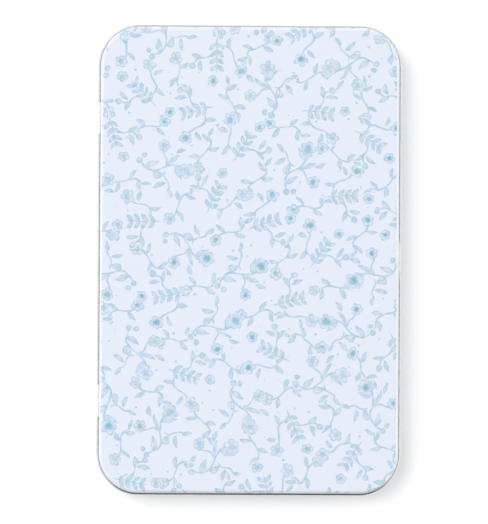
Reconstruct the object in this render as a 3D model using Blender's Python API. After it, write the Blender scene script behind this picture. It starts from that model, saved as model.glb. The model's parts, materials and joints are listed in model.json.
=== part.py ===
"""A slim hinged tin for papers: two pressings of thin tinplate.

The lid and the tray are each one drawn sheet. The lid's lower edge is curled outward into a
round hem, and that hem is also the hinge pin: two tongues of the tray's rear wall wrap round
it and end in windows of the lid's rear skirt. A rib in the lid's front skirt clicks over a
ridge in the tray's front wall.

The tin lies closed on the origin, which is the middle of its footprint. +Z is up, the hinge
is on the -X side and the catch on the +X side.
"""

import math

import bmesh
import bpy

# Sizes of the closed tin, in metres
HEIGHT = 0.0200
SKIRT_LENGTH = 0.1886
SKIRT_WIDTH = 0.1210
CORNER_RADIUS = 0.0158
SHEET = 0.00028

# Lid
LID_DEPTH = 0.0080
SHOULDER_RADIUS = 0.0013
HEM_DIAMETER = 0.0016
HEM_TURN = math.radians(285)

# Tray
WALL_CLEARANCE = 0.00045
SEAT_GAP = 0.0003
RIM_DIAMETER = 0.0012
RIM_TURN = math.radians(285)
FOOT_RADIUS = 0.0020
STAND_WIDTH = 0.0025
PANEL_RISE = 0.0006
PANEL_SLOPE = math.radians(45)

# Hinge tongues of the tray, and the windows in the lid that they end in
HINGE_SPACING = 0.1148
TONGUE_WIDTH = 0.0130
TONGUE_TURN = math.radians(240)
TONGUE_BEND_RADIUS = 0.0005
TONGUE_SIDE_SLOT = 0.0005
HINGE_CLEARANCE = 0.0002
WINDOW_SIDE_GAP = 0.0012
WINDOW_TOP_GAP = 0.00045
WINDOW_SILL_SHARE = 0.4

# Catch: a rib pressed into the lid's front skirt, over a ridge in the tray's front wall
CATCH_LENGTH = 0.0180
CATCH_END_LENGTH = 0.0030
CATCH_WIDTH = 0.0022
CATCH_ABOVE_HEM = 0.0030
LID_RIB_DEPTH = 0.00045
TRAY_RIDGE_DEPTH = 0.0003

# How finely the round forms are divided
CORNER_STEPS = 12
SHOULDER_STEPS = 4
CURL_STEPS = 12
FOOT_STEPS = 4
PANEL_STEPS = 2
BEND_STEPS = 3
CATCH_STEPS = 6
CATCH_END_STEPS = 3
SHARP_ANGLE = math.radians(40)

# Places that follow from those sizes. "Outward" is measured from the skirt's outer face.
QUARTER_TURN = math.radians(90)
HALF_SHEET = SHEET / 2
HINGE_OUTWARD = HEM_DIAMETER / 2 - SHEET
HINGE_HEIGHT = HEIGHT - LID_DEPTH + HEM_DIAMETER / 2
TONGUE_RADIUS = HEM_DIAMETER / 2 + HINGE_CLEARANCE + HALF_SHEET
TONGUE_ROOT_HEIGHT = HINGE_HEIGHT - TONGUE_RADIUS - TONGUE_BEND_RADIUS
TONGUE_ENTRY = math.sqrt((TONGUE_RADIUS - HALF_SHEET) ** 2 - (HEM_DIAMETER / 2) ** 2)
WINDOW_BOTTOM = HINGE_HEIGHT + WINDOW_SILL_SHARE * TONGUE_ENTRY
WINDOW_TOP = HINGE_HEIGHT + TONGUE_RADIUS + HALF_SHEET + WINDOW_TOP_GAP
TONGUE_STANDS_PROUD = TONGUE_RADIUS + HALF_SHEET - HEM_DIAMETER / 2
SKIRT_MIDDLE_X = TONGUE_STANDS_PROUD / 2
HINGE_X = SKIRT_MIDDLE_X - SKIRT_WIDTH / 2 - HINGE_OUTWARD
HINGE_CENTRES = (-HINGE_SPACING / 2, HINGE_SPACING / 2)
CATCH_HEIGHT = HINGE_HEIGHT + CATCH_ABOVE_HEM
WALL_OUTWARD = -SHEET - WALL_CLEARANCE - HALF_SHEET

# Which way the printed face looks along a section that runs from the middle outward
LEFT = 1
RIGHT = -1


class Section:
    """The middle of the sheet in cross-section, drawn as joined lines and arcs.

    A stop on it is (outward, height, heading), with heading 0 pointing outward.
    """

    def __init__(self, outward, height, heading):
        self.stops = [(outward, height, heading)]

    def line(self, length):
        outward, height, heading = self.stops[-1]
        outward += length * math.cos(heading)
        height += length * math.sin(heading)
        self.stops.append((outward, height, heading))

    def pass_heights(self, heights):
        """Run straight up or down, with a stop at each height."""
        for height in heights:
            self.line(abs(height - self.stops[-1][1]))

    def turn(self, radius, angle, steps):
        """Turn left by a positive angle and right by a negative one."""
        step = angle / steps
        chord = 2 * radius * math.sin(abs(step) / 2)
        for _ in range(steps):
            outward, height, heading = self.stops[-1]
            outward += chord * math.cos(heading + step / 2)
            height += chord * math.sin(heading + step / 2)
            self.stops.append((outward, height, heading + step))


class Pressing:
    """A thin sheet laid out as cells, each with a printed face and a bare face.

    A node is one place on the sheet, with a point on either face. A cell lists its nodes
    anticlockwise, seen from the printed side. Where a cell has no neighbour, the sheet's cut
    edge closes it, so windows and notches are simply cells that are left out.
    """

    def __init__(self):
        self.points = []
        self.cells = []

    def node(self, printed, bare):
        self.points.extend((printed, bare))
        return len(self.points) // 2 - 1

    def cell(self, nodes):
        self.cells.append(tuple(nodes))

    def cut_edges(self):
        edges = set()
        for cell in self.cells:
            edges.update(zip(cell, cell[1:] + cell[:1]))
        return sorted(edge for edge in edges if edge[::-1] not in edges)

    def make_object(self, name, origin, printed_material, bare_material):
        """Build the sheet as one closed body whose own origin is the place given."""
        mesh = bpy.data.meshes.new(name)
        mesh.materials.append(printed_material)
        mesh.materials.append(bare_material)
        form = bmesh.new()
        corners = [form.verts.new(tuple(a - b for a, b in zip(point, origin)))
                   for point in self.points]
        for cell in self.cells:
            form.faces.new([corners[2 * node] for node in cell]).material_index = 0
            form.faces.new([corners[2 * node + 1] for node in reversed(cell)]).material_index = 1
        for start, end in self.cut_edges():
            edge = (2 * end, 2 * start, 2 * start + 1, 2 * end + 1)
            form.faces.new([corners[corner] for corner in edge]).material_index = 1
        loose = [corner for corner in form.verts if not corner.link_faces]
        bmesh.ops.delete(form, geom=loose, context="VERTS")
        form.to_mesh(mesh)
        form.free()
        mesh.shade_smooth()
        mesh.set_sharp_from_angle(angle=SHARP_ANGLE)
        thing = bpy.data.objects.new(name, mesh)
        thing.location = origin
        bpy.context.collection.objects.link(thing)


def outline_stations(rear_marks, front_marks):
    """Places round the tin's outline, anticlockwise from above.

    Each is (x, y, direction): a centre of curvature and the way the outline faces there.
    """
    rear_x = SKIRT_MIDDLE_X - SKIRT_WIDTH / 2 + CORNER_RADIUS
    front_x = SKIRT_MIDDLE_X + SKIRT_WIDTH / 2 - CORNER_RADIUS
    end_y = SKIRT_LENGTH / 2 - CORNER_RADIUS

    def corner(x, y, quarter):
        return [(x, y, QUARTER_TURN * (quarter + step / CORNER_STEPS))
                for step in range(CORNER_STEPS + 1)]

    stations = corner(front_x, end_y, 0)
    stations += corner(rear_x, end_y, 1)
    stations += [(rear_x, mark, 2 * QUARTER_TURN) for mark in sorted(rear_marks, reverse=True)]
    stations += corner(rear_x, -end_y, 2)
    stations += corner(front_x, -end_y, 3)
    stations += [(front_x, mark, 0) for mark in sorted(front_marks)]
    return stations


def catch_marks():
    """Places along the front between which the catch's rounded ends rise and fall."""
    reaches = [CATCH_LENGTH / 2 - CATCH_END_LENGTH * step / CATCH_END_STEPS
               for step in range(CATCH_END_STEPS + 1)]
    return reaches + [-reach for reach in reaches]


def catch_heights():
    """Heights of the stops across the catch, lowest first."""
    return [CATCH_HEIGHT + CATCH_WIDTH * (step / CATCH_STEPS - 1 / 2)
            for step in range(CATCH_STEPS + 1)]


def ease(share):
    """Rise smoothly from 0 to 1."""
    share = min(max(share, 0), 1)
    return math.sin(QUARTER_TURN * share) ** 2


def catch_swell(station, height, depth):
    """How far the catch pushes the sheet outward at a place."""
    x, y, direction = station
    if direction != 0:
        return 0
    along = ease((CATCH_LENGTH / 2 - abs(y)) / CATCH_END_LENGTH)
    across = ease(1 - abs(height - CATCH_HEIGHT) / (CATCH_WIDTH / 2))
    return depth * along * across


def add_node(pressing, station, stop, printed_side, swell):
    """Put one stop of a section at one station of the outline."""
    x, y, direction = station
    outward, height, heading = stop
    facing = heading + printed_side * QUARTER_TURN
    pair = []
    for offset in (HALF_SHEET, -HALF_SHEET):
        reach = CORNER_RADIUS + outward + swell + offset * math.cos(facing)
        pair.append((x + reach * math.cos(direction),
                     y + reach * math.sin(direction),
                     height + offset * math.sin(facing)))
    return pressing.node(*pair)


def add_rings(pressing, stations, stops, printed_side, depth):
    """Carry a section round the whole outline. Returns the node numbers, ring by ring."""
    return [[add_node(pressing, station, stop, printed_side,
                      catch_swell(station, stop[1], depth)) for station in stations]
            for stop in stops]


def add_cells(pressing, rings, printed_side, is_open):
    """Join neighbouring rings by cells, leaving out those that is_open names."""
    middle = rings[0] if printed_side == LEFT else rings[0][::-1]
    pressing.cell(middle)
    count = len(rings[0])
    for row, (inner, outer) in enumerate(zip(rings, rings[1:])):
        for column in range(count):
            if is_open(row, column):
                continue
            following = (column + 1) % count
            cell = [inner[column], outer[column], outer[following], inner[following]]
            pressing.cell(cell if printed_side == LEFT else cell[::-1])


def column_middle(stations, column):
    """The y between two stations of the rear wall, or None elsewhere."""
    ends = (stations[column], stations[(column + 1) % len(stations)])
    if any(direction != 2 * QUARTER_TURN for x, y, direction in ends):
        return None
    return (ends[0][1] + ends[1][1]) / 2


def near_hinge(y, reach):
    return y is not None and any(abs(y - centre) < reach for centre in HINGE_CENTRES)


def hinge_marks(*reaches):
    """Places along the rear at each reach to either side of each hinge's middle."""
    return [centre + side * reach
            for centre in HINGE_CENTRES for reach in reaches for side in (-1, 1)]


def lid_section():
    """From the flat top over the shoulder, down the skirt and round the hem."""
    shoulder = SHOULDER_RADIUS - HALF_SHEET
    section = Section(-HALF_SHEET - shoulder, HEIGHT - HALF_SHEET, 0)
    section.turn(shoulder, -QUARTER_TURN, SHOULDER_STEPS)
    heights = catch_heights() + [WINDOW_TOP, WINDOW_BOTTOM, HINGE_HEIGHT]
    section.pass_heights(sorted(heights, reverse=True))
    skirt_rows = len(section.stops) - 1
    section.turn(HEM_DIAMETER / 2 - HALF_SHEET, HEM_TURN, CURL_STEPS)
    return section.stops, skirt_rows


def make_lid(printed_material, bare_material):
    stops, skirt_rows = lid_section()
    window_reach = TONGUE_WIDTH / 2 + WINDOW_SIDE_GAP
    stations = outline_stations(hinge_marks(window_reach), catch_marks())

    def in_window(row, column):
        height = (stops[row][1] + stops[row + 1][1]) / 2
        in_rows = row < skirt_rows and WINDOW_BOTTOM < height < WINDOW_TOP
        return in_rows and near_hinge(column_middle(stations, column), window_reach)

    pressing = Pressing()
    rings = add_rings(pressing, stations, stops, LEFT, LID_RIB_DEPTH)
    add_cells(pressing, rings, LEFT, in_window)
    pivot = (HINGE_X, 0, HINGE_HEIGHT)
    pressing.make_object("lid_shell", pivot, printed_material, bare_material)


def tray_section():
    """From the raised panel over the stand ring, up the wall and round the rim."""
    slope_radius = PANEL_RISE / (2 * (1 - math.cos(PANEL_SLOPE)))
    slope_run = 2 * slope_radius * math.sin(PANEL_SLOPE)
    foot = FOOT_RADIUS - HALF_SHEET
    section = Section(WALL_OUTWARD - foot - STAND_WIDTH - slope_run, PANEL_RISE + HALF_SHEET, 0)
    section.turn(slope_radius, -PANEL_SLOPE, PANEL_STEPS)
    section.turn(slope_radius, PANEL_SLOPE, PANEL_STEPS)
    section.line(STAND_WIDTH)
    section.turn(foot, QUARTER_TURN, FOOT_STEPS)
    rim_middle = HEIGHT - SHEET - SEAT_GAP - RIM_DIAMETER / 2
    section.pass_heights(sorted(catch_heights() + [TONGUE_ROOT_HEIGHT, rim_middle]))
    root_row = [math.isclose(stop[1], TONGUE_ROOT_HEIGHT) for stop in section.stops].index(True)
    section.turn(RIM_DIAMETER / 2 - HALF_SHEET, RIM_TURN, CURL_STEPS)
    return section.stops, root_row


def tongue_section():
    """From the tray's wall out under the lid's hem, round it and in at the window."""
    section = Section(WALL_OUTWARD, TONGUE_ROOT_HEIGHT, QUARTER_TURN)
    section.turn(TONGUE_BEND_RADIUS, -QUARTER_TURN, BEND_STEPS)
    section.line(HINGE_OUTWARD - section.stops[-1][0])
    section.turn(TONGUE_RADIUS, TONGUE_TURN, CURL_STEPS)
    return section.stops


def add_tongues(pressing, stations, root_ring):
    """Bend the sheet of each notch out as a tongue, from the ring of nodes at its root."""
    stops = tongue_section()
    for column in range(len(stations)):
        if not near_hinge(column_middle(stations, column), TONGUE_WIDTH / 2):
            continue
        pair = (column, column + 1)
        strip = [[root_ring[place] for place in pair]]
        for stop in stops[1:]:
            strip.append([add_node(pressing, stations[place], stop, RIGHT, 0) for place in pair])
        for (near_a, near_b), (far_a, far_b) in zip(strip, strip[1:]):
            pressing.cell((near_a, near_b, far_b, far_a))


def make_tray(printed_material, bare_material):
    stops, root_row = tray_section()
    notch_reach = TONGUE_WIDTH / 2 + TONGUE_SIDE_SLOT
    stations = outline_stations(hinge_marks(TONGUE_WIDTH / 2, notch_reach), catch_marks())

    def in_notch(row, column):
        return row >= root_row and near_hinge(column_middle(stations, column), notch_reach)

    pressing = Pressing()
    rings = add_rings(pressing, stations, stops, RIGHT, TRAY_RIDGE_DEPTH)
    add_cells(pressing, rings, RIGHT, in_notch)
    add_tongues(pressing, stations, rings[root_row])
    pressing.make_object("base_tray", (0, 0, 0), printed_material, bare_material)


def sheet_material(name, colour, roughness, metallic):
    material = bpy.data.materials.new(name)
    material.use_nodes = True
    shader = material.node_tree.nodes["Principled BSDF"]
    shader.inputs["Base Color"].default_value = (*colour, 1)
    shader.inputs["Roughness"].default_value = roughness
    shader.inputs["Metallic"].default_value = metallic
    material.diffuse_color = (*colour, 1)
    return material


def main():
    for thing in list(bpy.data.objects):
        bpy.data.objects.remove(thing)
    bare = sheet_material("bare tinplate", (0.72, 0.72, 0.70), 0.28, 1)
    lid_enamel = sheet_material("lid enamel", (0.80, 0.86, 0.96), 0.25, 0)
    tray_enamel = sheet_material("tray enamel", (0.80, 0.86, 0.95), 0.25, 0)
    make_lid(lid_enamel, bare)
    make_tray(tray_enamel, bare)


main()
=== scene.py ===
# %% [markdown]
# # A slim hinged tin box
#
# The real box is two sheets of tinplate. A printing press first lays the flower print on flat
# sheets, then a tool draws one sheet into the lid and one into the tray, and curls their edges.
# This lesson follows the same order: a thin sheet with its flat print coordinates is formed
# round an outline, and the print is worked out on those coordinates.
#
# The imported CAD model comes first. It fixes where everything is, so nothing is fitted by eye.

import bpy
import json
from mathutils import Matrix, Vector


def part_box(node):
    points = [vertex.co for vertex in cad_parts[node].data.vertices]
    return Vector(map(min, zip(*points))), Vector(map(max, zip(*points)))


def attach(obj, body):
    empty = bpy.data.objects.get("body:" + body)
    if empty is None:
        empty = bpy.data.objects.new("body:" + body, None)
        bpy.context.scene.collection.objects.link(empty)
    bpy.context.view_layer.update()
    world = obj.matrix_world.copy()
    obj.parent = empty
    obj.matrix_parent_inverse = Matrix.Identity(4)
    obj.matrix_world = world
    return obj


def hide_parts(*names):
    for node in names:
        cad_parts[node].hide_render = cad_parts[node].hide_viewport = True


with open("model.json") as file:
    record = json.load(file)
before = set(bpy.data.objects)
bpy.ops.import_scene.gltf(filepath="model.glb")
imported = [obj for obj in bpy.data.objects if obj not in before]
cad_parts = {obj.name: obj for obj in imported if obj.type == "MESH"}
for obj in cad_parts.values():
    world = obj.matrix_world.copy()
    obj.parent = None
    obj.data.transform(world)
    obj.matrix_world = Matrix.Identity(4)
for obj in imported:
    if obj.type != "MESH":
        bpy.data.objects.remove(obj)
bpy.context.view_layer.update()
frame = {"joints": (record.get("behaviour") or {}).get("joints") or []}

# %% Libraries
import json
import math

import bmesh
import bpy
from mathutils import Matrix, Vector

# %% [markdown]
# ## The measures
#
# The big sizes are read from the CAD nodes' boxes and from the hinge, and the small ones are
# those of the sheet itself: how thick it is and how tightly it is bent. All are in metres,
# like everything in the frame.

# %% Sizes of the sheet and its bends
MM = 0.001
sheet = 0.28 * MM
hem_radius = 0.80 * MM
rim_radius = 0.60 * MM
shoulder_radius = 1.30 * MM
foot_radius = 2.00 * MM
corner_radius = 15.8 * MM
half_sheet = sheet / 2
print("the sheet is", sheet / MM, "mm thick")

# %% Places read from the frame
lid_low, lid_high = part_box("lid_shell")
tray_low, tray_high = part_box("base_tray")
hinge_x, _, hinge_z = frame["joints"][0]["pos_m"]
hem_reach = 2 * hem_radius - sheet
rear_x = lid_low.x + hem_reach + corner_radius
front_x = lid_high.x - hem_reach - corner_radius
side_y = lid_high.y - hem_reach - corner_radius
middle_x = (rear_x + front_x) / 2
print("skirt in mm:", round((front_x - rear_x + 2 * corner_radius) / MM, 2),
      "by", round(2 * (side_y + corner_radius) / MM, 2))

# %% [markdown]
# ## The outline
#
# Seen from above, both pressings are the same rounded rectangle. It is kept as stations: a
# centre of curvature and the way that the outline faces there. A ring of the sheet at any
# distance is then one sum per station, and the corners stay true arcs at every distance.
# Stations also stand at the edges of the hinge windows and the catch, so that cells can end
# exactly there, and along the straight sides, which keeps the cells compact.

# %% Hinges and catch along the sides
hinge_spacing = 114.8 * MM
tongue_width = 13.0 * MM
window_reach = tongue_width / 2 + 1.2 * MM
notch_reach = tongue_width / 2 + 0.5 * MM
catch_length = 18.0 * MM
catch_end = 3.0 * MM


def hinge_marks(*reaches):
    """Places along the rear at each reach to either side of both hinges' middles."""
    return [centre + side * reach for centre in (-hinge_spacing / 2, hinge_spacing / 2)
            for reach in reaches for side in (-1, 1)]


def catch_marks(steps=6):
    """Places along the front where the catch's rounded ends rise and fall."""
    reaches = [catch_length / 2 - catch_end * step / steps for step in range(steps + 1)]
    return reaches + [-reach for reach in reaches]


print("tongues at y =", [round(mark / MM, 1) for mark in hinge_marks(tongue_width / 2)], "mm")

# %% Stations round the outline
CORNER_STEPS = 24
SIDE_STEP = 9 * MM


def spread(start, end, marks=()):
    """Places from start towards end at an even step, and the marks, without the two ends."""
    steps = round(abs(end - start) / SIDE_STEP)
    even = [start + (end - start) * step / steps for step in range(1, steps)]
    even = [place for place in even
            if all(abs(place - mark) > SIDE_STEP / 3 for mark in marks)]
    return sorted(even + list(marks), reverse=end < start)


def corner(x, y, quarter):
    """A quarter turn about a centre of curvature."""
    return [(x, y, math.pi / 2 * (quarter + step / CORNER_STEPS))
            for step in range(CORNER_STEPS + 1)]


def outline(rear_marks):
    """All stations, anticlockwise from above, from the middle of the front's end corner."""
    stations = corner(front_x, side_y, 0)
    stations += [(x, side_y, math.pi / 2) for x in spread(front_x, rear_x)]
    stations += corner(rear_x, side_y, 1)
    stations += [(rear_x, y, math.pi) for y in spread(side_y, -side_y, rear_marks)]
    stations += corner(rear_x, -side_y, 2)
    stations += [(x, -side_y, 3 * math.pi / 2) for x in spread(rear_x, front_x)]
    stations += corner(front_x, -side_y, 3)
    stations += [(front_x, y, 0) for y in spread(-side_y, side_y, catch_marks())]
    return stations


print("stations round the lid:", len(outline(hinge_marks(window_reach))))

# %% [markdown]
# ## The section
#
# A pressing is the same all round in cross-section: lines and arcs that a draughtsman would
# draw with a ruler and a compass. Each stop notes how far out and how high it is, which way
# the sheet heads there, and how much sheet has gone by, because the print needs that length.

# %% A section as lines and arcs
class Section:
    """The middle of the sheet, from a start outward. A heading of 0 points outward."""

    def __init__(self, outward, height, heading=0.0):
        self.stops = [(outward, height, heading, 0.0)]

    def line(self, length):
        outward, height, heading, travel = self.stops[-1]
        self.stops.append((outward + length * math.cos(heading),
                           height + length * math.sin(heading), heading, travel + length))

    def climb(self, heights):
        """Straight up or down, with a stop at each height."""
        for height in heights:
            self.line(abs(height - self.stops[-1][1]))

    def turn(self, radius, degrees, steps):
        """An arc, to the left if positive."""
        step = math.radians(degrees) / steps
        chord = 2 * radius * math.sin(abs(step) / 2)
        for _ in range(steps):
            outward, height, heading, travel = self.stops[-1]
            self.stops.append((outward + chord * math.cos(heading + step / 2),
                               height + chord * math.sin(heading + step / 2),
                               heading + step, travel + radius * abs(step)))


# %% [markdown]
# ## The catch
#
# A rib in the lid's front skirt snaps over a ridge in the tray's front wall. Both are one
# smooth swelling of the sheet, so they are an extra distance outward, eased to nothing at the
# ends and edges.

# %% The swelling of the catch
catch_height = hinge_z + 3.0 * MM
catch_width = 2.2 * MM
lid_rib = 0.60 * MM
tray_ridge = 0.30 * MM


def ease(share):
    """A smooth rise from 0 to 1."""
    return math.sin(math.pi / 2 * min(max(share, 0), 1)) ** 2


def catch_swell(station, height, depth):
    x, y, facing = station
    if facing != 0:
        return 0
    along = ease((catch_length / 2 - abs(y)) / catch_end)
    return depth * along * ease(1 - abs(height - catch_height) / (catch_width / 2))


catch_heights = [catch_height + catch_width * (step / 12 - 0.5) for step in range(13)]
print("the catch lies at z =", round(catch_height / MM, 2), "mm")

# %% [markdown]
# ## Forming the sheet
#
# Only the middle of the sheet is drawn, as a surface one face thick. Every point remembers
# where it lay on the flat blank before it was drawn, in a UV map named "blank", in
# millimetres. A Solidify modifier then gives the sheet its thickness and closes its cut
# edges: the printed face keeps its material, and the other face and the edges get the bare
# one. Windows and notches are faces that are left out.

# %% A sheet that remembers its flat blank
PRINTED, PLAIN, BARE = 0, 1, 2


class Sheet:
    """A surface whose points know their place on the flat blank."""

    def __init__(self, name, materials):
        self.name, self.materials = name, materials
        self.form = bmesh.new()
        self.blank = {}

    def point(self, position, flat):
        """A point of the sheet, and where it lay on the blank, in metres."""
        made = self.form.verts.new(position)
        self.blank[made] = (flat[0] / MM, flat[1] / MM)
        return made

    def cell(self, points, material=PRINTED):
        self.form.faces.new(points).material_index = material

    def ring(self, stations, stop, depth=0.0, start=0.0):
        """One stop of a section, carried round the stations."""
        outward, height, _, travel = stop
        points = []
        for station in stations:
            x, y, facing = station
            way = Vector((math.cos(facing), math.sin(facing)))
            reach = corner_radius + outward + catch_swell(station, height, depth)
            spot = Vector((x, y)) + way * reach
            flat = Vector((x, y)) + way * (corner_radius + start + travel)
            points.append(self.point((*spot, height), flat))
        return points

    def join(self, inner, outer, left_out=(), material=PRINTED, facing_up=True):
        """The cells between two rings, without the columns that are left out."""
        count = len(inner)
        for column in range(count):
            if column in left_out:
                continue
            following = (column + 1) % count
            cell = [inner[column], outer[column], outer[following], inner[following]]
            self.cell(cell if facing_up else cell[::-1], material)


# %% Thickness, UV map and smooth shading
def finish_sheet(sheet_form):
    """Turn a sheet into an object with real thickness and return it."""
    form = sheet_form.form
    uv = form.loops.layers.uv.new("blank")
    for face in form.faces:
        face.smooth = True
        for loop in face.loops:
            loop[uv].uv = sheet_form.blank[loop.vert]
    bmesh.ops.delete(form, geom=[v for v in form.verts if not v.link_faces], context="VERTS")
    flat = bpy.data.meshes.new(sheet_form.name + "_middle")
    form.to_mesh(flat)
    form.free()
    for material in sheet_form.materials:
        flat.materials.append(material)
    thing = bpy.data.objects.new(sheet_form.name, flat)
    bpy.context.collection.objects.link(thing)
    thicken = thing.modifiers.new("sheet thickness", "SOLIDIFY")
    thicken.thickness, thicken.offset = sheet, 0
    thicken.use_even_offset = True
    thicken.material_offset = thicken.material_offset_rim = BARE
    solid = bpy.data.meshes.new_from_object(
        thing.evaluated_get(bpy.context.evaluated_depsgraph_get()))
    thing.modifiers.clear()
    thing.data = solid
    bpy.data.meshes.remove(flat)
    solid.name = sheet_form.name
    solid.set_sharp_from_angle(angle=math.radians(50))
    print(sheet_form.name, "has", len(solid.polygons), "faces")
    return thing


def columns_near_hinge(stations, reach):
    """The columns of the rear side that lie within reach of a hinge's middle."""
    found = set()
    for column, (x, y, facing) in enumerate(stations):
        next_y, next_facing = stations[(column + 1) % len(stations)][1:]
        if facing == next_facing == math.pi:
            middle = (y + next_y) / 2
            if abs(abs(middle) - hinge_spacing / 2) < reach:
                found.add(column)
    return found


# %% [markdown]
# ## Shader maths as plain expressions
#
# A material in Blender is a graph of small nodes. Drawing such a graph node by node is slow
# to read, so a socket is wrapped in a class that knows +, -, * and /. Each operator adds one
# Math node, and a formula in the lesson looks like the formula in a textbook.

# %% A socket that takes part in sums
class Wire:
    """A value that flows out of a node."""

    def __init__(self, finish, socket):
        self.finish, self.socket = finish, socket

    def math(self, operation, *others):
        return self.finish.node("ShaderNodeMath", {"operation": operation}, [self, *others])

    def __add__(self, other):
        return self.math("ADD", other)

    def __sub__(self, other):
        return self.math("SUBTRACT", other)

    def __rsub__(self, other):
        return self.finish.node("ShaderNodeMath", {"operation": "SUBTRACT"}, [other, self])

    def __mul__(self, other):
        return self.math("MULTIPLY", other)

    def __truediv__(self, other):
        return self.math("DIVIDE", other)

    def __abs__(self):
        return self.math("ABSOLUTE")

    def __lt__(self, other):
        return self.math("LESS_THAN", other)

    __radd__ = __add__
    __rmul__ = __mul__

    def times_plus(self, factor, term):
        return self.math("MULTIPLY_ADD", factor, term)


# %% A material that is written in such sums
class Finish:
    """A material, with one method that adds any node."""

    def __init__(self, name, **even):
        self.material = bpy.data.materials.new(name)
        self.material.use_nodes = True
        self.tree = self.material.node_tree
        self.shader = self.tree.nodes["Principled BSDF"]
        for socket, value in even.items():
            self.shader.inputs[socket.replace("_", " ").title()].default_value = value

    def feed(self, socket, value):
        if isinstance(value, Wire):
            self.tree.links.new(value.socket, socket)
        else:
            socket.default_value = value

    def node(self, kind, settings=None, inputs=(), output=None):
        """Add a node: its type, its settings, its sockets by place or name, what to return."""
        new = self.tree.nodes.new(kind)
        for name, value in (settings or {}).items():
            setattr(new, name, value)
        shown = [socket for socket in new.inputs if socket.enabled]
        named = inputs.items() if isinstance(inputs, dict) else zip(range(99), inputs)
        for key, value in named:
            socket = shown[key] if isinstance(key, int) else \
                next(socket for socket in shown if socket.name == key)
            self.feed(socket, value)
        results = [socket for socket in new.outputs if socket.enabled]
        if output is None:
            return Wire(self, results[0])
        return Wire(self, next(socket for socket in results if socket.name == output))

    def vector(self, operation, *inputs):
        return self.node("ShaderNodeVectorMath", {"operation": operation}, inputs)

    def xyz(self, vector):
        """The three numbers of a vector."""
        parts = self.node("ShaderNodeSeparateXYZ", inputs=[vector]).socket.node
        return [Wire(self, socket) for socket in parts.outputs]

    def smooth(self, value, low, high, to_low=0.0, to_high=1.0):
        """A soft step from one value to another while value passes from low to high."""
        return self.node("ShaderNodeMapRange", {"interpolation_type": "SMOOTHSTEP"},
                         [value, low, high, to_low, to_high])

    def mix(self, share, first, second):
        """A colour between two colours."""
        return self.node("ShaderNodeMix", {"data_type": "RGBA"},
                         {"Factor": share, "A": first, "B": second})

    def noise(self, place, scale, detail=2.0, rough=0.5, output="Fac"):
        return self.node("ShaderNodeTexNoise", {},
                         {"Vector": place, "Scale": scale, "Detail": detail,
                          "Roughness": rough}, output)

    def blank(self):
        """The place on the flat sheet, in millimetres."""
        return self.node("ShaderNodeUVMap", {"uv_map": "blank"})

    def set(self, **sockets):
        """Wire values to the shader's own sockets."""
        for name, value in sockets.items():
            self.feed(self.shader.inputs[name.replace("_", " ").title()], value)


print("Wire and Finish are ready")

# %% [markdown]
# ## The print's alphabet
#
# The print is drawn with distance fields. Each motif is a formula that says how deep a place
# lies inside its outline, in millimetres, and how far it is from the nearest inner line, such
# as a leaf's midrib. Motifs are joined by keeping the deepest depth and the nearest line, so a
# whole sprig is still only two numbers, which later become fill, outline and rib. A motif that
# lies on top first wipes out the inner lines below it, as a painter would.

# %% Motif helpers
class Drawing:
    """Motifs that are joined into one: how deep inside, and how far from an inner line."""

    def __init__(self):
        self.depth = None
        self.line = None

    def add(self, depth, line=None, on_top=False):
        """Join a motif. One that lies on top hides the inner lines of what is under it."""
        if on_top and self.line is not None:
            self.line = self.line.math("MAXIMUM", depth)
        self.depth = depth if self.depth is None else self.depth.math("MAXIMUM", depth)
        if line is not None:
            inside = line.math("MAXIMUM", 0 - depth)
            self.line = inside if self.line is None else self.line.math("MINIMUM", inside)


def own_axes(x, y, at, degrees):
    """The place as a motif sees it that sits at a spot and is turned."""
    c, s = math.cos(math.radians(degrees)), math.sin(math.radians(degrees))
    along = y.times_plus(s, x.times_plus(c, -at[0] * c - at[1] * s))
    across = y.times_plus(c, x.times_plus(-s, at[0] * s - at[1] * c))
    return along, across


# %% A leaf
def leaf(drawing, x, y, at, degrees, length, width, bend=0.0):
    """A pointed leaf from its base at a spot, with a midrib that may bend."""
    along, across = own_axes(x, y, at, degrees)
    share = along / length
    belly = share * (1 - share)
    off_rib = abs(belly.times_plus(-4 * bend, across))
    drawing.add(belly.times_plus(2 * width, 0 - off_rib), off_rib)


# %% A stem
def stem(drawing, x, y, at, degrees, length, thick, sway):
    """A waving line about a spot, as long as length, that thins to nothing at its ends."""
    along, across = own_axes(x, y, at, degrees)
    wave = (along * (2 * math.pi / length)).math("SINE")
    off = abs(wave.times_plus(-sway, across))
    reach = (1 - abs(along / (length / 2))).math("MINIMUM", 0.25)
    drawing.add(reach.times_plus(4 * thick, 0 - off))


# %% A blossom
def blossom(drawing, x, y, at, radius, petals=5, turned=0.0, cleft=0.5):
    """Round petals about an eye, with lines where the petals part."""
    along, across = own_axes(x, y, at, turned)
    angle = across.math("ARCTAN2", along)
    out = (along * along + across * across).math("SQRT")
    lobe = abs((angle * (petals / 2)).math("COSINE"))
    edge = lobe.math("POWER", 0.45).times_plus(radius * cleft, radius * (1 - cleft))
    parting = out * lobe * (1.6 / petals)
    eye = abs(out - 0.3 * radius)
    drawing.add(edge - out, parting.math("MINIMUM", eye), on_top=True)


# %% A berry
def berry(drawing, x, y, at, radius):
    """A round berry with a crescent of light left in it."""
    along, across = own_axes(x, y, at, 0)
    out = (along * along + across * across).math("SQRT")
    drawing.add(radius - out, abs(out - 0.45 * radius), on_top=True)


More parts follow.
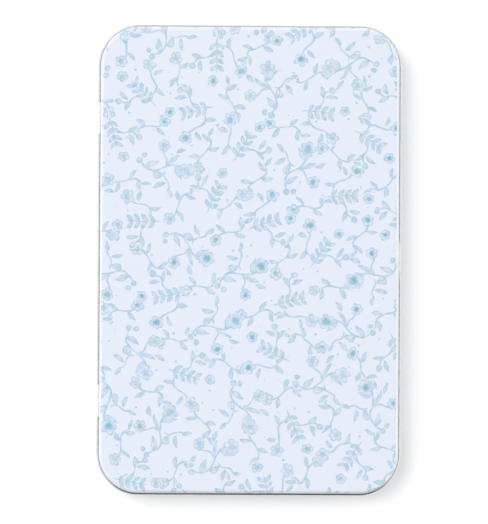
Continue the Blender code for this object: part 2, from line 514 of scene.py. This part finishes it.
# %% A frond of paired leaflets
def frond(drawing, x, y, at, degrees, length, pitch, leaflet, width, lean):
    """A straight rib with leaflets in pairs, all drawn by one leaf that is folded over."""
    along, across = own_axes(x, y, at, degrees)
    fold = abs(across)
    slant = 1 / math.tan(math.radians(lean))
    number = (fold.times_plus(-slant, along) / pitch).math("ROUND")
    number = number.math("MAXIMUM", 1).math("MINIMUM", math.floor(length / pitch) - 1)
    leaf(drawing, number.times_plus(-pitch, along), fold, (0, 0), lean, leaflet, width)
    drawing.add((1 - abs(along / (length / 2) - 1)).math("MINIMUM", 0.2).times_plus(
        1.0, 0 - fold))


# %% A trailing stem with alternate leaves
def trail(drawing, x, y, length, sway, spacing, leaflet, width, lean, thick):
    """A waving stem through the middle, with leaves on either side in turn."""
    wave = (x * (2 * math.pi / length)).math("SINE")
    off = wave.times_plus(-sway, y)
    below = off < 0
    off = abs(off)
    slant = 1 / math.tan(math.radians(lean))
    shifted = below.times_plus(-spacing / 2, x)
    number = (off.times_plus(-slant, shifted) / spacing).math("ROUND")
    most = math.floor(length / 2 / spacing)
    number = number.math("MAXIMUM", -most).math("MINIMUM", most - 1)
    leaf(drawing, number.times_plus(-spacing, shifted), off, (0, 0), lean, leaflet, width,
         bend=0.35)
    reach = (1 - abs(x / (length / 2))).math("MINIMUM", 0.2)
    drawing.add(reach.times_plus(5 * thick, 0 - off))


print("motifs: leaf, stem, blossom, berry, frond, trail")

# %% [markdown]
# ## Scattering the sprigs
#
# A ditsy print tosses small sprigs in all directions. The sheet is divided into square cells,
# each cell holds one sprig, and random numbers that belong to the cell turn and mirror it. A
# sprig stays inside its cell's inner circle, so it may be turned by any angle without being
# cut off. The cells themselves are turned against the tin's sides, so no rows show.

# %% A lattice of tossed cells
FULL_TURN = 6.2832


def tossed_cell(finish, place, cell_size, offset, jitter):
    """x and y in the cell's own turned axes, and three random numbers of the cell."""
    shifted = finish.vector("MULTIPLY_ADD", place, (1 / cell_size,) * 3, (*offset, 0))
    number = finish.vector("FLOOR", shifted)
    inside = finish.vector("FRACTION", shifted)
    random = finish.node("ShaderNodeTexWhiteNoise", {"noise_dimensions": "2D"},
                         {"Vector": number}, "Color")
    moved = finish.vector("MULTIPLY_ADD", random, (jitter / cell_size,) * 3,
                          (-(0.5 + jitter / 2 / cell_size),) * 3)
    local = finish.vector("MULTIPLY_ADD", finish.vector("ADD", inside, moved),
                          (cell_size,) * 3, (0, 0, 0))
    first, second, third = finish.xyz(random)
    turned = finish.node("ShaderNodeVectorRotate", {"rotation_type": "Z_AXIS"},
                         {"Vector": local, "Angle": third * FULL_TURN})
    x, y, _ = finish.xyz(turned)
    mirror = (first < 0.5).times_plus(2, -1)
    return x, y * mirror, (first, second, third)


# %% [markdown]
# ## The print
#
# Two kinds of large sprig take turns in the cells, a bent shoot with one blossom fills each
# place where four cells meet, and small specks fill what is left. The inks are a dusty blue
# and a sea green over a cool white, laid down like a wash: a pale fill, a darker outline and
# rib, and a strength that drifts a little. All the motifs and their layout are made up for
# this lesson. A motif's numbers are millimetres and degrees in its cell: where it sits, how
# it is turned and how large it is.

# %% Inks
ground = (0.800, 0.838, 0.952, 1)
# The white base coat; the same white also paints the highlight on the lid's long shoulders.
coat_and_highlight_white = (0.905, 0.920, 0.930, 1)
blue_ink = (0.190, 0.495, 0.690, 1)
green_ink = (0.215, 0.480, 0.595, 1)
CELL = 21.0
SPECK_CELL = 5.0
PRINT_SCALE = 1.14
PRINT_TURN = math.radians(27)
OUTLINE = 0.52
RIB = 0.26
LINE_STRENGTH = 0.35
HEART_STRENGTH = 0.38
PALEST_WASH, DEEPEST_WASH = 0.07, 0.38
GAP_ROUND_SPRIG = 0.5
GAP_ROUND_SPECK = 1.0
print("a sprig repeats about every", round(CELL * PRINT_SCALE, 1), "mm")


# %% A sprig that climbs
def climbing_sprig(x, y):
    """A winding stem with alternate leaves, a blossom at its tip and two side shoots."""
    sprig = Drawing()
    trail(sprig, x, y, 18.5, 2.4, 6.6, 5.4, 2.0, lean=42, thick=0.34)
    stem(sprig, x, y, (-1.4, 4.0), 108, 7.4, 0.28, 0.8)
    stem(sprig, x, y, (2.4, -4.3), -66, 7.6, 0.28, 0.8)
    leaf(sprig, x, y, (3.4, -6.6), -50, 3.8, 1.5, 0.3)
    leaf(sprig, x, y, (2.2, -5.0), -140, 4.6, 1.6, -0.3)
    leaf(sprig, x, y, (2.4, 6.0), 45, 4.2, 1.6, 0.3)
    berry(sprig, x, y, (-9.2, -0.4), 1.1)
    berry(sprig, x, y, (-8.2, 1.9), 0.95)
    blossom(sprig, x, y, (7.6, 1.5), 2.9)
    blossom(sprig, x, y, (-2.5, 7.3), 2.2, petals=6, cleft=0.4)
    return sprig


# %% A sprig with a frond
def feather_sprig(x, y):
    """A fern frond with a flowering shoot below it and a bud above."""
    sprig = Drawing()
    frond(sprig, x, y, (-8.2, -3.0), 24, 12.8, 2.5, 3.5, 1.5, lean=46)
    stem(sprig, x, y, (1.2, -5.4), -22, 12.0, 0.32, 1.3)
    stem(sprig, x, y, (-3.2, 4.6), 76, 8.2, 0.28, 0.9)
    leaf(sprig, x, y, (2.4, -6.0), -80, 3.9, 1.5, 0.3)
    leaf(sprig, x, y, (-2.0, -5.0), 212, 4.6, 1.6, -0.3)
    leaf(sprig, x, y, (-3.4, 4.6), 130, 4.4, 1.6, -0.3)
    leaf(sprig, x, y, (-2.8, 5.4), 28, 4.4, 1.6, 0.3)
    berry(sprig, x, y, (-2.2, 9.0), 1.15)
    blossom(sprig, x, y, (6.6, -5.9), 2.5, turned=30)
    blossom(sprig, x, y, (5.6, 4.8), 2.0, petals=5, turned=10, cleft=0.35)
    return sprig


# %% A small sprig between the large ones
def filler_sprig(x, y):
    """A bent shoot with a small blossom, for the places between the large sprigs."""
    sprig = Drawing()
    stem(sprig, x, y, (0, 0), 0, 14.0, 0.32, 1.9)
    leaf(sprig, x, y, (1.2, 1.0), 68, 4.4, 1.6, 0.3)
    leaf(sprig, x, y, (-1.4, -1.2), -100, 4.2, 1.5, 0.3)
    leaf(sprig, x, y, (4.2, 1.6), -52, 4.2, 1.5, -0.3)
    leaf(sprig, x, y, (6.0, 0.6), 22, 4.0, 1.4, 0.2)
    blossom(sprig, x, y, (-5.4, -1.4), 2.3, turned=20, cleft=0.4)
    return sprig


# %% One drawing behind another
def behind(front, back, gap):
    """Put one drawing behind another, with a thin gap of bare ground round the front one."""
    clear = front.depth.times_plus(-1, -gap)
    back_line = back.line.math("MAXIMUM", 0 - clear)
    front.line = front.line.math("MINIMUM", back_line)
    front.depth = front.depth.math("MAXIMUM", back.depth.math("MINIMUM", clear))


# %% [markdown]
# ## The painted shoulder highlight
#
# The long shoulders mirror the pale walls of the room in their varnish, and that bright
# highlight is painted into the colour as plain white over the print. It narrows at the
# corners. It is the area between two rounded rectangles on the flat blank: where the print
# ends, and where the shoulder has turned down.

# %% The painted highlight between two frames
PRINT_ENDS = (59.7, 95.9, 15.0)
SHOULDER_ENDS = (61.3, 95.1, 16.6)
SOFT_EDGE = 0.1


def inside_frame(finish, half_width, half_length, radius):
    """How far inside a rounded rectangle about the sheet's middle a place lies, in mm."""
    x, y, _ = finish.xyz(finish.blank())
    x, y = abs(x), abs(y)
    out_x = (x - (half_width - radius)).math("MAXIMUM", 0)
    out_y = (y - (half_length - radius)).math("MAXIMUM", 0)
    return radius - (out_x * out_x + out_y * out_y).math("SQRT")


def painted_shoulder_highlight(finish, colour):
    """Paint a white highlight along the lid's long shoulders and a little at its corners."""
    printed = inside_frame(finish, *PRINT_ENDS)
    turned_down = inside_frame(finish, *SHOULDER_ENDS)
    # Painted highlight: plain white over the print where the shoulders mirror the pale walls.
    painted_band = finish.smooth(printed, -SOFT_EDGE, SOFT_EDGE, 1, 0) \
        * finish.smooth(turned_down, -SOFT_EDGE, SOFT_EDGE)
    return finish.mix(painted_band, colour, coat_and_highlight_white)


# The painted shoulder highlight is this wide at the sides.
print("the margin is", round(SHOULDER_ENDS[0] - PRINT_ENDS[0], 1), "mm wide at the sides")

# %% The printed colour
def two_sprigs(finish, place):
    """The large sprigs, one kind or the other in each cell, and the cell's tint number."""
    x, y, (tint, pick, _) = tossed_cell(finish, place, CELL, (0, 0), 1.0)
    climbing, feather = climbing_sprig(x, y), feather_sprig(x, y)
    choice = pick < 0.5
    sprigs = Drawing()
    sprigs.depth = finish.node("ShaderNodeMix", {}, [choice, climbing.depth, feather.depth])
    sprigs.line = finish.node("ShaderNodeMix", {}, [choice, climbing.line, feather.line])
    return sprigs, tint


def print_colour(finish, seed):
    """The printed colour of the sheet. The seed picks another piece of the same print."""
    blank = finish.blank()
    # A hand-drawn line is never quite true, so every place is moved by up to 0.8 mm.
    wobble = finish.noise(blank, 0.22, detail=1.0, output="Color")
    place = finish.vector("ADD", blank, finish.vector(
        "MULTIPLY_ADD", wobble, (1.6, 1.6, 0), (seed - 0.8, -0.8, 0)))
    place = finish.node("ShaderNodeVectorRotate", {"rotation_type": "Z_AXIS"},
                        {"Vector": place, "Angle": PRINT_TURN})
    place = finish.vector("MULTIPLY", place, (1 / PRINT_SCALE,) * 3)
    sprigs, tint = two_sprigs(finish, place)
    x, y, _ = tossed_cell(finish, place, CELL, (0.5, 0.5), 1.0)
    behind(sprigs, filler_sprig(x, y), GAP_ROUND_SPRIG)
    x, y, (dot, _, _) = tossed_cell(finish, place, SPECK_CELL, (0.3, 0.1), 3.0)
    specks = Drawing()
    berry(specks, x, y, (0, 0), dot.times_plus(0.90, -0.42))
    behind(sprigs, specks, GAP_ROUND_SPECK)
    # Depth and line become ink: everywhere inside, more near the outline, more on a rib.
    fill = finish.smooth(sprigs.depth, -0.14, 0.14)
    edge = finish.smooth(sprigs.depth, 0.16, OUTLINE, 1, 0)
    rib = finish.smooth(sprigs.line, 0.02, RIB, 1, 0)
    heart = finish.smooth(sprigs.depth, 0.85, 1.5) * finish.smooth(tint, 0.40, 0.60)
    wash = finish.smooth(finish.noise(blank, 0.45, detail=3.0), 0.32, 0.68,
                         PALEST_WASH, DEEPEST_WASH)
    strength = edge.math("MAXIMUM", rib).times_plus(LINE_STRENGTH, wash) \
        + heart * HEART_STRENGTH
    ink = finish.mix(finish.smooth(finish.noise(blank, 0.08, 1.0), 0.35, 0.65),
                     blue_ink, green_ink)
    share = (fill * strength).math("MINIMUM", 1)
    return finish.mix(share, ground, ink)


print("the two inks:", blue_ink[:3], green_ink[:3])

# %% [markdown]
# ## Enamel and tinplate
#
# The outside is varnished print: a hard clear gloss, with the faint unevenness that roller
# coating leaves. The underside has the white base coat alone. The hinge tongues get the same
# plain white, which there is partly painted highlight in place of their print. The other side
# is bare tin, a soft grey mirror with the straight marks of the rolling mill and a faint cloud.
# The marks follow the blank, so they bend with the sheet.

# %% The three finishes
VARNISH_IOR = 1.65
DARK_TIN = (0.73, 0.73, 0.725, 1)
LIGHT_TIN = (0.78, 0.78, 0.77, 1)


def varnish(finish, colour):
    """Gloss over a colour, with a slight orange peel."""
    blank = finish.blank()
    drift = finish.noise(blank, 0.35, 3.0)
    peel = finish.noise(blank, 1.6, 2.0)
    bump = finish.node("ShaderNodeBump", {},
                       {"Strength": 0.05, "Distance": 0.0002, "Height": peel})
    finish.set(base_color=colour, roughness=drift.times_plus(0.16, 0.34), normal=bump,
               coat_weight=1.0, coat_roughness=0.10)
    finish.shader.inputs["Coat IOR"].default_value = VARNISH_IOR
    return finish.material


def printed_enamel(name, seed, painted_band=False):
    """Varnished print, with or without the painted white highlight on the long shoulders."""
    finish = Finish(name)
    colour = print_colour(finish, seed)
    return varnish(finish, painted_shoulder_highlight(finish, colour) if painted_band else colour)


def plain_enamel():
    """The white base coat, slightly cloudy; on the hinge tongues it is partly painted
    highlight.
    """
    finish = Finish("plain_enamel")
    cloud = finish.noise(finish.blank(), 0.06, 3.0)
    pale = tuple(0.95 * part for part in coat_and_highlight_white[:3]) + (1,)
    return varnish(finish, finish.mix(cloud, coat_and_highlight_white, pale))


def bare_tinplate():
    """Bare tin, with the rolling mill's marks along the blank."""
    finish = Finish("bare_tinplate", metallic=1.0)
    stretched = finish.vector("MULTIPLY", finish.blank(), (7.0, 0.25, 1))
    marks = finish.noise(stretched, 1.0, 3.0, 0.6)
    cloud = finish.noise(finish.blank(), 0.12, 3.0)
    bump = finish.node("ShaderNodeBump", {},
                       {"Strength": 0.10, "Distance": 0.0001, "Height": marks})
    shade = finish.smooth(cloud * 0.6 + marks * 0.4, 0.35, 0.65)
    colour = finish.mix(shade, DARK_TIN, LIGHT_TIN)
    finish.set(base_color=colour, roughness=marks.times_plus(0.16, 0.20), normal=bump)
    return finish.material


# The lid's print gets the painted white highlight along its long shoulders.
lid_print = printed_enamel("lid_print", 40.0, painted_band=True)
tray_print = printed_enamel("tray_print", 400.0)
coat_and_tongue_highlight = plain_enamel()
tinplate = bare_tinplate()
print("nodes in the print:", len(lid_print.node_tree.nodes))

# %% [markdown]
# ## The lid
#
# From the middle outward: a top with a hair of crown, a small round shoulder, the skirt with
# its catch and hinge windows, and the hem, which curls outward and is also the hinge pin. The
# top is drawn as rings that shrink to a line along the middle, so its cells stay four-sided.

# %% The lid's section
LID_CROWN = 0.12 * MM
TOP_RINGS = 5
height = lid_high.z
shoulder = shoulder_radius - half_sheet
collar = 0.4 * MM
hinge_play = 0.2 * MM
tongue_radius = hem_radius + hinge_play + half_sheet
tongue_entry = math.sqrt((tongue_radius - half_sheet) ** 2 - hem_radius ** 2)
window_low = hinge_z + 0.4 * tongue_entry
window_room = 0.45 * MM
window_high = hinge_z + tongue_radius + half_sheet + window_room

lid_section = Section(-half_sheet - shoulder - collar, height - half_sheet)
lid_section.line(collar)
lid_section.turn(shoulder, -90, 9)
lid_section.climb(sorted(catch_heights + [window_low, window_high, hinge_z], reverse=True))
skirt_stops = len(lid_section.stops)
lid_section.turn(hem_radius - half_sheet, 304, 28)
print("the hem ends after", round(lid_section.stops[-1][3] / MM, 2), "mm of sheet")

# %% The lid's sheet
lid_form = Sheet("printed_lid", [lid_print, coat_and_tongue_highlight, tinplate])
stations = outline(hinge_marks(window_reach))
first_reach = corner_radius + lid_section.stops[0][0]


def top_ring(share):
    """A ring on the crowned top, from the middle line at 0 to the shoulder at 1."""
    points = []
    for x, y, facing in stations:
        rim = Vector((x, y)) + first_reach * Vector((math.cos(facing), math.sin(facing)))
        spine = Vector((middle_x, min(max(rim.y, -side_y * 0.6), side_y * 0.6)))
        spot = spine.lerp(rim, share)
        rise = LID_CROWN * (1 - share ** 2)
        points.append(lid_form.point((*spot, height - half_sheet + rise), spot))
    return points


rings = [top_ring(step / TOP_RINGS) for step in range(TOP_RINGS)]
start = lid_section.stops[0][0]
rings += [lid_form.ring(stations, stop, lid_rib, start) for stop in lid_section.stops]
window = columns_near_hinge(stations, window_reach)
for row, (inner, outer) in enumerate(zip(rings, rings[1:])):
    stop = row - TOP_RINGS
    in_window = False
    if 0 <= stop < skirt_stops - 1:
        above, below = lid_section.stops[stop][1], lid_section.stops[stop + 1][1]
        in_window = window_low < (above + below) / 2 < window_high
    lid_form.join(inner, outer, window if in_window else ())
bmesh.ops.remove_doubles(lid_form.form, verts=rings[0], dist=1e-7)
lid_form.blank = {vert: flat for vert, flat in lid_form.blank.items() if vert.is_valid}
lid = finish_sheet(lid_form)
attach(lid, "lid")
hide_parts("lid_shell")

# %% [markdown]
# ## The tray
#
# The tray starts at its raised panel, which keeps thin tinplate from drumming, passes the
# stand ring and the foot, climbs the wall and curls inward at the rim. The hinge tongues are
# cut from the rear wall on three sides and bent out, under the lid's hem and round it.

# %% The tray's section
panel_rise = 0.6 * MM
stand_width = 2.5 * MM
lid_play = 0.45 * MM
wall_outward = -sheet - lid_play - half_sheet
tongue_bend = 0.5 * MM
seat_gap = 0.3 * MM
root_height = hinge_z - tongue_radius - tongue_bend
rim_middle = height - sheet - seat_gap - rim_radius
bead_radius = panel_rise / (2 * (1 - math.cos(math.radians(45))))
bead_run = 2 * bead_radius * math.sin(math.radians(45))
foot = foot_radius - half_sheet

tray_section = Section(wall_outward - foot - stand_width - bead_run, panel_rise + half_sheet)
tray_section.turn(bead_radius, -45, 5)
tray_section.turn(bead_radius, 45, 5)
tray_section.line(stand_width)
tray_section.turn(foot, 90, 9)
foot_stops = len(tray_section.stops)
tray_section.climb(sorted(catch_heights + [root_height, rim_middle]))
tray_section.turn(rim_radius - half_sheet, 285, 22)
root_row = next(row for row, stop in enumerate(tray_section.stops)
                if abs(stop[1] - root_height) < 1e-9)
print("tongues start at z =", round(root_height / MM, 2), "mm")

# %% The tray's sheet
tray_form = Sheet("printed_tray", [tray_print, coat_and_tongue_highlight, tinplate])
stations = outline(hinge_marks(tongue_width / 2, notch_reach))
start = tray_section.stops[0][0]
rings = [tray_form.ring(stations, stop, tray_ridge, start) for stop in tray_section.stops]
tray_form.cell(rings[0][::-1], PLAIN)
notch = columns_near_hinge(stations, notch_reach)
for row, (inner, outer) in enumerate(zip(rings, rings[1:])):
    finish_here = PLAIN if row < foot_stops - 6 else PRINTED
    tray_form.join(inner, outer, notch if row >= root_row else (), finish_here,
                   facing_up=False)

# %% The hinge tongues
tongue = Section(wall_outward, root_height, math.pi / 2)
tongue.turn(tongue_bend, -90, 6)
tongue.line(hem_radius - sheet - tongue.stops[-1][0])
tongue.turn(tongue_radius, 240, 24)
root_travel = start + tray_section.stops[root_row][3]
for column in columns_near_hinge(stations, tongue_width / 2):
    pair = [stations[column], stations[column + 1]]
    strip = [[rings[root_row][column], rings[root_row][column + 1]]]
    strip += [tray_form.ring(pair, stop, 0.0, root_travel) for stop in tongue.stops[1:]]
    for near, far in zip(strip, strip[1:]):
        # Plain white on the tongues: the base coat, partly painted highlight in place of their
        # print.
        tray_form.cell([near[0], near[1], far[1], far[0]], PLAIN)
bmesh.ops.remove_doubles(tray_form.form, verts=list(tray_form.form.verts), dist=1e-7)
tray_form.blank = {vert: flat for vert, flat in tray_form.blank.items() if vert.is_valid}
tray = finish_sheet(tray_form)
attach(tray, "tray")
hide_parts("base_tray")

# %% [markdown]
# ## The studio
#
# The tin lies on a white table, seen from straight above through a long lens. One soft box
# hangs high at the upper left and casts the soft shadow to the lower right. The rest of the
# light comes from the room. A pale wall on either side is mirrored in the varnish of the long
# shoulders, over the white bands that are painted there as highlight, and the room is dark in
# front of the table, which draws the dark line along the lower edge.

# %% The table
TABLE_GREY = 0.73
TABLE_GLOW = 0.33


def studio_white(name, grey, lift):
    """White that takes the object's shadow: lit paper, plus a glow that the lens sees."""
    finish = Finish(name, roughness=0.9)
    finish.shader.inputs["Specular IOR Level"].default_value = 0.0
    finish.shader.inputs["Base Color"].default_value = (grey, grey, grey, 1)
    path = finish.node("ShaderNodeLightPath").socket.node
    seen = Wire(finish, path.outputs["Is Camera Ray"]) \
        + Wire(finish, path.outputs["Is Glossy Ray"]) \
        + Wire(finish, path.outputs["Is Transmission Ray"])
    glow = finish.node("ShaderNodeEmission", {}, {"Strength": seen * lift})
    both = finish.node("ShaderNodeAddShader", {}, [
        Wire(finish, finish.shader.outputs[0]), glow])
    finish.tree.links.new(both.socket, finish.tree.nodes["Material Output"].inputs["Surface"])
    return finish.material


table_mesh = bpy.data.meshes.new("table")
half = 3.0
table_mesh.from_pydata([(-half, -half, 0), (half, -half, 0), (half, half, 0), (-half, half, 0)],
                       [], [(0, 1, 2, 3)])
table = bpy.data.objects.new("table", table_mesh)
table.location.z = -0.0002
bpy.context.collection.objects.link(table)
table_mesh.materials.append(studio_white("table_white", TABLE_GREY, TABLE_GLOW))

# %% The lamp
BOX_PLACE = (-1.25, 0.82, 4.00)
BOX_SIDE = 1.4
BOX_STRENGTH = 11.75


def soft_box(name, place, side, strength):
    """A square lamp that looks at the tin. strength is how bright its face is."""
    lamp = bpy.data.lights.new(name, "AREA")
    lamp.shape = "SQUARE"
    lamp.size = side
    lamp.energy = strength * math.pi * side * side
    thing = bpy.data.objects.new(name, lamp)
    thing.location = place
    thing.rotation_euler = (Vector(place) * -1).to_track_quat("-Z", "Y").to_euler()
    bpy.context.collection.objects.link(thing)
    return thing


key = soft_box("window_box", BOX_PLACE, BOX_SIDE, BOX_STRENGTH)
key.visible_glossy = False
print("the soft box hangs", BOX_PLACE[2], "m above the table")

# %% The room
CEILING = 0.28
LEFT_WALL, RIGHT_WALL, REAR_WALL, FRONT_BAND = 0.96, 0.98, 0.50, 0.18
world = bpy.data.worlds.new("room")
bpy.context.scene.world = world
world.use_nodes = True


class Room(Finish):
    """The world takes the same expressions as a material."""

    def __init__(self, world):
        self.tree = world.node_tree
        self.shader = self.tree.nodes["Background"]


room = Room(world)
room.shader.inputs["Color"].default_value = (1, 1, 1, 1)
way = room.node("ShaderNodeTexCoord", output="Generated")
across, ahead, up = room.xyz(way)
right_wall = room.smooth(across, 0.46, 0.66, 0.0, RIGHT_WALL)
left_wall = room.smooth(across, -0.56, -0.36, LEFT_WALL, 0.0)
walls = (right_wall + left_wall) * room.smooth(up, 0.10, 0.45, 0.45, 1.0)
rear = room.smooth(ahead, 0.15, 0.50, 0.0, REAR_WALL) \
    * room.smooth(abs(across), 0.35, 0.65, 1.0, 0.0)
front = room.smooth(ahead, -0.26, -0.12, FRONT_BAND, 0.0) \
    * room.smooth(ahead, -0.52, -0.42, 0.0, 1.0)
dark_front = room.smooth(abs(across), 0.25, 0.60, 1.0, 0.0) \
    * room.smooth(ahead, -0.50, -0.36, 1.0, 0.0)
lit = (rear + front + walls + CEILING) * (1 - dark_front * 0.98)
seen = room.node("ShaderNodeLightPath", output="Is Camera Ray")
room.feed(room.shader.inputs["Strength"],
          room.node("ShaderNodeMix", {}, [seen, lit, 1.0]))
print("nodes in the room:", len(room.tree.nodes))

# %% The camera
lens_place = Vector((-0.014, -0.027, 1.20))
aim = Vector((-0.0020, -0.0010, height))
camera_data = bpy.data.cameras.new("lens")
camera = bpy.data.objects.new("lens", camera_data)
bpy.context.collection.objects.link(camera)
bpy.context.scene.camera = camera
PHOTO_HEIGHT, MM_PER_PIXEL = 524, 0.4042
LENS_ROLL = math.radians(0.28)
camera_data.lens = camera_data.sensor_width * (lens_place - aim).length / (
    PHOTO_HEIGHT * MM_PER_PIXEL * MM)
camera.location = lens_place
back = (lens_place - aim).normalized()
right = Vector((0, 1, 0)).cross(back).normalized()
stance = Matrix((right, back.cross(right), back)).transposed()
camera.rotation_euler = (stance @ Matrix.Rotation(LENS_ROLL, 3, "Z")).to_euler()
bpy.context.scene.view_settings.view_transform = "Standard"
print("lens of", round(camera_data.lens), "mm")
